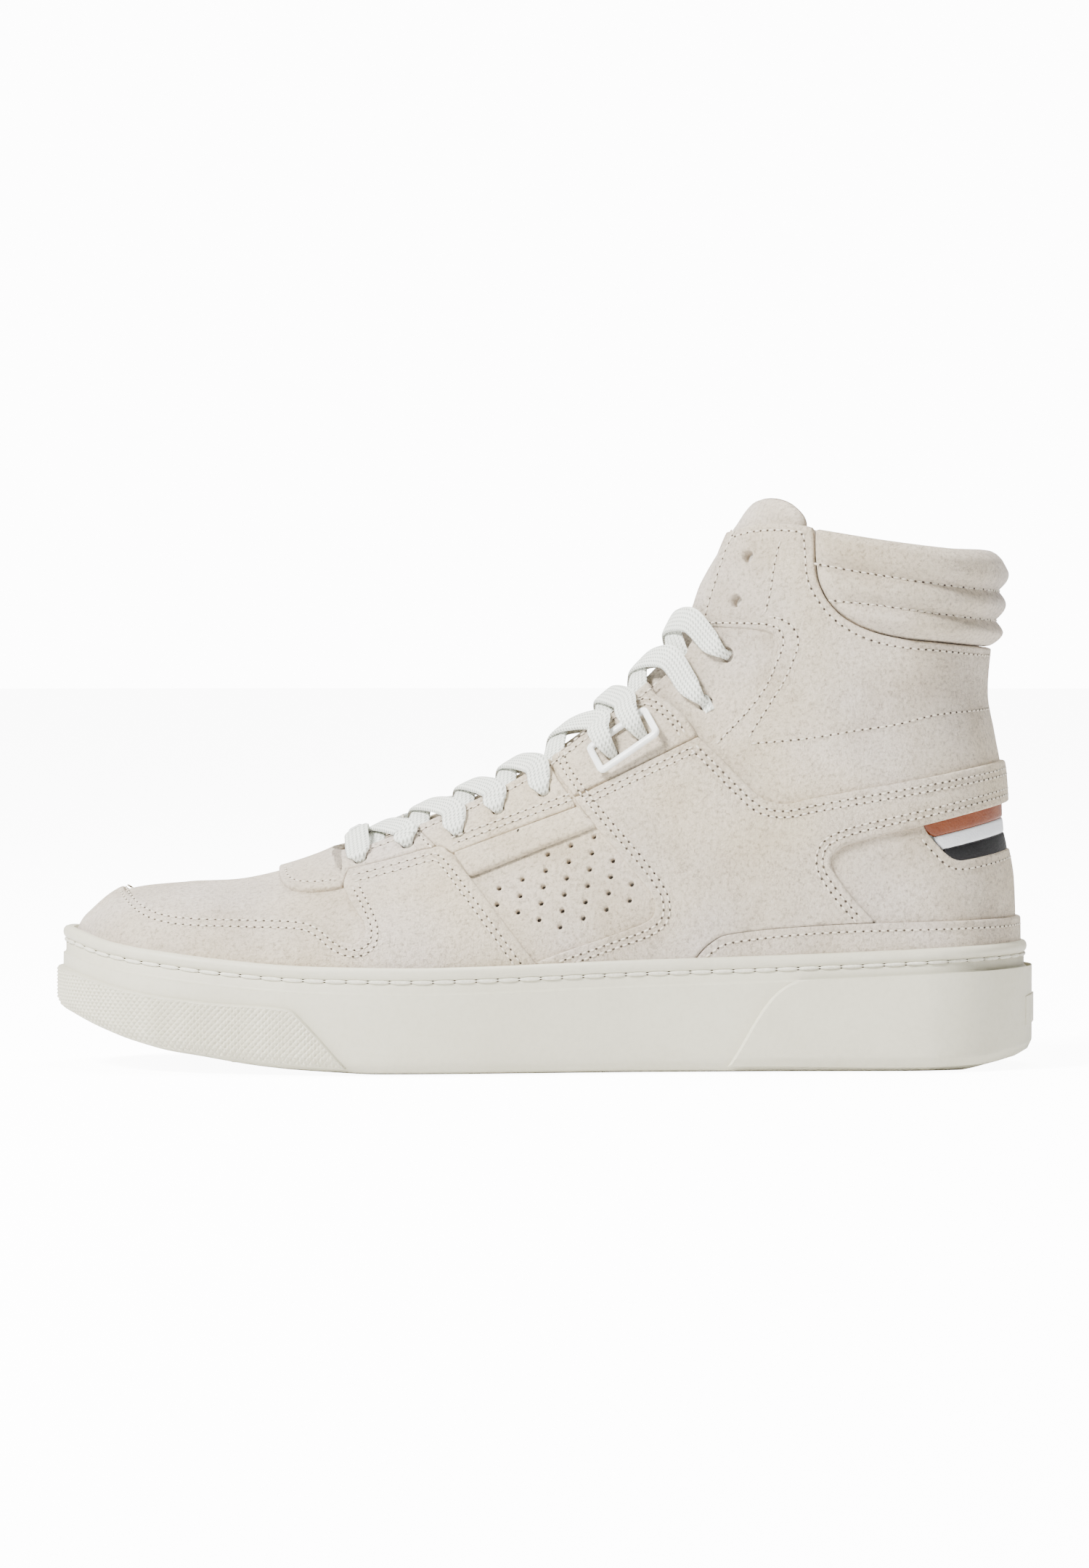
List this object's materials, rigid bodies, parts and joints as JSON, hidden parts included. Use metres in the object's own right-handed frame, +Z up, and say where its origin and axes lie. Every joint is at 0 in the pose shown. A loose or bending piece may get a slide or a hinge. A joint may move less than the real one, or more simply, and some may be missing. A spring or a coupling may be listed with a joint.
{
  "type": "high top basketball shoe",
  "caption": "Off-white suede high-top sneaker with layered overlays, flat laces, side lace rings, padded ribbed collar and a rubber cup sole.",
  "frame": {"origin": "centre of the bounding box in plan, at ground level", "axes": "+X towards the heel, -Y towards the lateral side of this left shoe, +Z up"},
  "size_m": [0.3057, 0.1084, 0.1769],
  "materials": {
    "sole_rubber": "smooth off-white cup rubber",
    "foam": "white foam",
    "board": "woven board",
    "footbed_cloth": "cloth-covered foam",
    "lining_cloth": "knit lining",
    "stiffener": "thermoformed sheet",
    "suede": "off-white suede nap",
    "tan_leather": "smooth",
    "white_leather": "smooth",
    "black_leather": "smooth",
    "lace_cotton": "flat braid",
    "white_enamel": "satin white"
  },
  "bodies": {
    "shoe": {"cupsole": "sole_rubber", "toe_bumper": "sole_rubber", "heel_wrap": "sole_rubber", "heel_plate": "sole_rubber", "midsole_foam": "foam", "strobel_board": "board", "lining_sock": "lining_cloth", "toe_puff": "stiffener", "heel_counter": "stiffener", "vamp": "suede", "throat_tab": "suede", "mudguard": "suede", "heel_overlay": "suede", "heel_foxing": "suede", "collar_pad": "suede", "tongue": "suede", "front_stay_lateral": "suede", "front_stay_medial": "suede", "eyestay_lateral": "suede", "eyestay_medial": "suede", "side_strip_lateral": "suede", "side_strip_medial": "suede", "ring_stay_lateral": "suede", "ring_stay_medial": "suede", "saddle_lateral": "suede", "saddle_medial": "suede", "side_panel_lateral": "suede", "side_panel_medial": "suede", "ankle_quarter_lateral": "suede", "ankle_quarter_medial": "suede", "ankle_inset_lateral": "suede", "ankle_inset_medial": "suede", "stripe_tan": "tan_leather", "stripe_white": "white_leather", "stripe_black": "black_leather", "lace": "lace_cotton", "lace_ring_lateral": "white_enamel", "lace_ring_medial": "white_enamel"},
    "tongue_flap": {"tongue_top": "suede"},
    "keeper": {"lace_keeper": "white_enamel"},
    "insole": {"footbed": "footbed_cloth"}
  },
  "joints": [
    {"name": "tongue_tilt", "type": "hinge", "parent": "shoe", "child": "tongue_flap", "pos_m": [0.05, -0.002, 0.134], "axis": [0, 1, 0], "range_deg": [0, 6], "stiffness_Nm_per_rad": 0.05},
    {"name": "footbed_lift", "type": "hinge", "parent": "shoe", "child": "insole", "pos_m": [-0.138, 0, 0.03], "axis": [0, -1, 0], "range_deg": [0, 4]},
    {"name": "keeper_slide", "type": "slide", "parent": "shoe", "child": "keeper", "axis": [0, 1, 0], "range_m": [-0.002, 0.002]}
  ]
}
